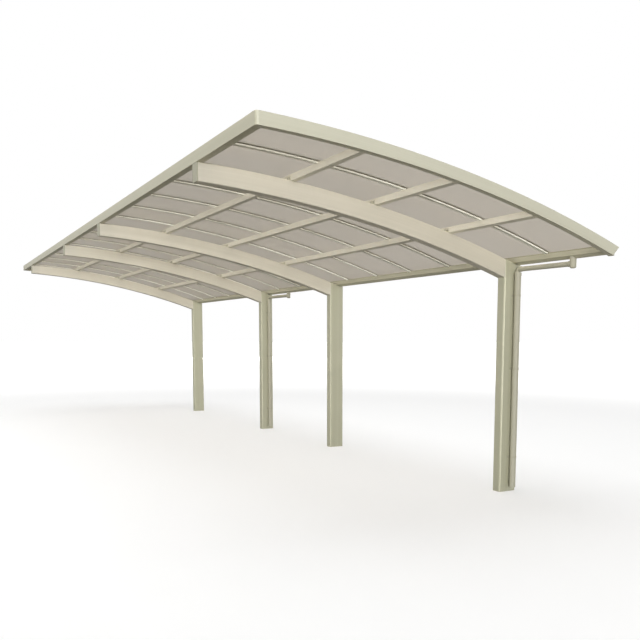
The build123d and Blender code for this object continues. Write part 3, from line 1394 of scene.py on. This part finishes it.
@dataclass
class PipeFittings:
    """Clips that hold the downpipes, and collars on the link pipes."""

    clip_heights: tuple[float, ...] = (0.30, 1.05, 1.66)
    clip_length: float = 0.018
    clip_wall: float = 0.0016
    play: float = 0.0001
    lug_root: float = 0.004
    lug_reach: float = 0.013
    lug_thickness: float = 0.0032
    lug_rounding: float = 0.0006
    head: ScrewHead = ScrewHead(radius=0.0038, height=0.002)
    screw_reach: float = 0.0065
    link_radius: float = 0.020
    collar_wall: float = 0.0028
    collar_length: float = 0.014
    from_outlet: float = 0.033
    from_elbow: float = 0.032

    def clip(self, centre: Vector, radius: float, face: float) -> list[Piece]:
        """Model one clip: a band round the pipe, and a lug either side on the post.

        Args:
            centre: the middle of the band.
            radius: the pipe's radius.
            face: Y of the post's front.

        Returns:
            The band and the lugs.
        """
        radii = (radius + self.play, radius + self.clip_wall)
        parts = [Workshop.ring(centre, radii, self.clip_length, UP)]
        half = self.clip_length / 2
        for side in SIDES:
            root = centre.x + side * (radius - self.lug_root)
            tip = centre.x + side * (radius + self.lug_reach)
            low = Vector((min(root, tip), face - self.lug_thickness, centre.z - half))
            high = Vector((max(root, tip), face - self.play, centre.z + half))
            parts.append(Workshop.block(low, high, self.lug_rounding))
        return parts

    def collars(self, unit: str) -> list[Piece]:
        """Model a collar on the link pipe where it leaves the outlet and at its elbow.

        Args:
            unit: front or rear.

        Returns:
            The two collars.
        """
        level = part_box(f"drain_link_{unit}")[1].z - self.link_radius
        top = Vector((*middle(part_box(f"downpipe_{unit}")), level))
        mouth = Vector((*middle(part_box(f"drain_outlet_{unit}")), level))
        heading = (top - mouth).normalized()
        radii = (self.link_radius + self.play, self.link_radius + self.collar_wall)
        centres = (mouth + heading * self.from_outlet, top - heading * self.from_elbow)
        return [Workshop.ring(centre, radii, self.collar_length, heading) for centre in centres]

    def build(self) -> None:
        """Make the fittings of both drains."""
        plastic = PipePlastic("Pipe fitting plastic", clean=linear(160, 157, 137)).build()
        steel = Steel("Clip screws").build()
        master = self.head.model()
        for unit, post in (("front", 1), ("rear", 3)):
            low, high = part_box(f"downpipe_{unit}")
            axis = (low + high) / 2
            radius = (high.x - low.x) / 2
            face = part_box(f"post_{post}")[0].y
            clips = []
            places = []
            for height in self.clip_heights:
                clips += self.clip(Vector((axis.x, axis.y, height)), radius, face)
                for side in SIDES:
                    x = axis.x + side * (radius + self.screw_reach)
                    places.append((Vector((x, face - self.lug_thickness, height)), -REARWARD))
            fit(f"pipe_clips_{unit}", clips, plastic)
            fit(f"pipe_clip_screws_{unit}", Workshop.copies(master, places), steel)
            fit(f"link_collars_{unit}", self.collars(unit), plastic)
        bpy.data.objects.remove(master)


@dataclass
class JointCovers:
    """Sleeve over the joint of the two units' gutters."""

    layout: Layout
    length: float = 0.090
    sheet: float = 0.0015
    play: float = 0.0001
    rounding: float = 0.0004
    floor_inset: float = 0.028
    heel_lap: float = 0.001
    face_height: float = 0.059

    def build(self) -> None:
        """Make the sleeve's floor and its outer face."""
        metal = Anodised("Joint cover aluminium", run=Run.LENGTHWISE).build()
        front = self.layout.joint_line() - self.length / 2
        rear = front + self.length
        low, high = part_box("gutter_wall_front")
        rail_low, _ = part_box("gutter_rail_front")
        heel = Vector((low.x + self.heel_lap, 0.0, low.z))
        floor = Workshop.block(
            Vector((rail_low.x + self.floor_inset, front, rail_low.z - self.sheet)),
            Vector((heel.x, rear, rail_low.z - self.play)),
            self.rounding,
        )
        face = Workshop.block(
            Vector((self.play, front, 0.0)),
            Vector((self.sheet, rear, self.face_height)),
            self.rounding,
        )
        lean = Vector((high.x - heel.x, 0.0, high.z - low.z)).normalized()
        outward = Vector((lean.z, 0.0, -lean.x))
        face.data.transform(Workshop.placed(heel, (outward, REARWARD, lean)))
        fit("gutter_joint_sleeve", [floor, face], metal)


# ---------------------------------------------------------------------------- the studio


def lamp_power(level: float, distance: float) -> float:
    """Power that lights a white face to a level, 1 being white, from a distance."""
    return level * math.pi * math.pi * distance**2


@dataclass(frozen=True)
class Lamp:
    """One wide, low lamp far away, whose light reaches in under the roof.

    Its level is how brightly it lights a white face that looks at it, and its heading is how
    far it stands to the left of the front, in degrees.
    """

    name: str
    level: float
    heading: float
    distance: float = 40.0
    tall: float = 2.6
    width: float = 16.0
    off_floor: float = 0.05
    mirrored: bool = True

    def stand(self, target: Vector) -> None:
        """Stand the lamp so that it looks level at what it lights.

        Args:
            target: what it lights.
        """
        side = math.radians(self.heading)
        data = bpy.data.lights.new(self.name, "AREA")
        data.shape = "RECTANGLE"
        data.size = self.width
        data.size_y = self.tall
        data.energy = lamp_power(self.level, self.distance)
        lamp = bpy.data.objects.new(self.name, data)
        away = Vector((-math.sin(side), -math.cos(side), 0.0)) * self.distance
        lamp.location = Vector((target.x, target.y, self.tall / 2 + self.off_floor)) + away
        lamp.rotation_euler = (-away).to_track_quat("-Z", "Y").to_euler()
        lamp.visible_transmission = False
        lamp.visible_glossy = self.mirrored
        bpy.context.scene.collection.objects.link(lamp)


@dataclass
class Studio:
    """Pale floor, soft lamps and the camera."""

    camera_place: tuple[float, float, float] = (-4.380, -4.809, 1.3146)
    turn: float = 28.63
    tip: float = 6.25
    lens: float = 41.78
    sensor: float = 36.0
    shift: Span = (-0.0085, 0.154)
    sight: float = 200.0
    floor_size: float = 400.0
    sky: float = 0.18
    horizon: float = 1.60
    glow_top: float = 0.42
    through_level: float = 6.0
    through_ahead: Span = (-0.25, -0.90)
    through_low: Span = (0.75, 0.20)
    top_level: float = 0.80
    top_height: float = 16.0
    top_size: float = 12.0
    top_offset: Span = (-3.0, -2.0)
    lamps: tuple[Lamp, ...] = (
        Lamp("front", level=0.37, heading=14.0),
        Lamp("apron", level=0.10, heading=8.0, distance=18.0, tall=0.5),
        Lamp("side", level=0.28, heading=80.0),
        Lamp("rear fill", level=0.45, heading=195.0, tall=5.0, mirrored=False),
        Lamp("post side fill", level=0.45, heading=275.0, tall=5.0, mirrored=False),
    )

    def lay_floor(self, target: Vector) -> None:
        """Lay the floor.

        Args:
            target: the middle of the carport.
        """
        Workshop.clear()
        bpy.ops.mesh.primitive_plane_add(size=self.floor_size, location=(target.x, target.y, 0.0))
        floor = bpy.context.object
        floor.name = "studio_floor"
        floor.data.materials.append(StudioFloor("Studio floor").build())

    def through_sheets(
        self,
        board: Board,
        path: bpy.types.bpy_prop_collection,
        direction: bpy.types.bpy_prop_collection,
    ) -> Socket:
        """Light the bars and beams through the sheets with more of the low front sky.

        Args:
            board: the world's board.
            path: what kind of ray it is, by name.
            direction: X, Y and Z of the direction, by name.

        Returns:
            The extra strength, which the camera never sees.
        """
        bounced = board.maths("GREATER_THAN", path["Diffuse Depth"], 0.5)
        through = board.maths("MULTIPLY", path["Is Transmission Ray"], bounced)
        ahead = board.ramp(direction["Y"], self.through_ahead, smooth=True)
        low = board.ramp(direction["Z"], self.through_low, smooth=True)
        extra = board.maths("MULTIPLY", board.maths("MULTIPLY", ahead, low), through)
        return board.maths("MULTIPLY", extra, self.through_level)

    def build_sky(self) -> None:
        """Make the world white to the eye, and for bounced light brightest at the horizon."""
        world = bpy.data.worlds.new("Studio world")
        bpy.context.scene.world = world
        world.use_nodes = True
        board = Board(world.node_tree)
        path = board.add("ShaderNodeLightPath").outputs
        direction = board.split(board.add("ShaderNodeTexCoord").outputs["Generated"])
        seen = board.maths("MAXIMUM", path["Is Camera Ray"], path["Is Glossy Ray"])
        seen = board.maths("MAXIMUM", seen, path["Is Transmission Ray"])
        glow = board.ramp(direction["Z"], (0.0, self.glow_top), (self.horizon, self.sky), smooth=True)
        unseen = board.maths("MULTIPLY", glow, board.maths("SUBTRACT", 1.0, seen))
        level = board.maths("ADD", seen, unseen)
        level = board.maths("ADD", level, self.through_sheets(board, path, direction))
        sky = board.add("ShaderNodeBackground", Color=WHITE, Strength=level)
        board.add("ShaderNodeOutputWorld", Surface=sky.outputs[0])

    def hang_top_lamp(self, target: Vector) -> None:
        """Hang one broad lamp over the roof, which gives the floor its soft shadow.

        Args:
            target: the middle of the carport.
        """
        data = bpy.data.lights.new("top", "AREA")
        data.shape = "SQUARE"
        data.size = self.top_size
        data.energy = lamp_power(self.top_level, self.top_height)
        lamp = bpy.data.objects.new("top", data)
        across, along = self.top_offset
        lamp.location = (target.x + across, target.y + along, self.top_height)
        lamp.visible_glossy = False
        bpy.context.scene.collection.objects.link(lamp)

    def stand_camera(self) -> None:
        """Stand the camera in front of the free corner, at eye height."""
        scene = bpy.context.scene
        data = bpy.data.cameras.new("Camera")
        data.lens = self.lens
        data.sensor_width = self.sensor
        data.shift_x, data.shift_y = self.shift
        data.clip_end = self.sight
        camera = bpy.data.objects.new("Camera", data)
        camera.location = self.camera_place
        camera.rotation_euler = (math.radians(90 - self.tip), 0.0, math.radians(-self.turn))
        scene.collection.objects.link(camera)
        scene.camera = camera
        scene.view_settings.view_transform = "Standard"

    def build(self) -> None:
        """Build the floor, the world, the lamps and the camera."""
        low, high = CAD_BOX
        target = (low + high) / 2
        self.lay_floor(target)
        self.build_sky()
        for lamp in self.lamps:
            lamp.stand(target)
        self.hang_top_lamp(target)
        self.stand_camera()
        LOG.info("studio: %d lamps", len(self.lamps) + 1)


def main() -> None:
    """Build the carport's looks and the studio."""
    arc = RoofArc.from_bars("roof_bars_front")
    LOG.info("roof centre %.4f %.4f", arc.centre_x, arc.centre_z)
    layout = Layout()
    for assembly in (
        Studio(),
        Frames(arc),
        Roof(arc),
        Drains(),
        BarSeals(arc, layout),
        SheetClosures(arc, layout),
        CapScrews(arc, layout),
        PurlinCleats(arc, layout),
        PostBolts(),
        PipeFittings(),
        JointCovers(layout),
    ):
        assembly.build()


if __name__ == "__main__":
    main()
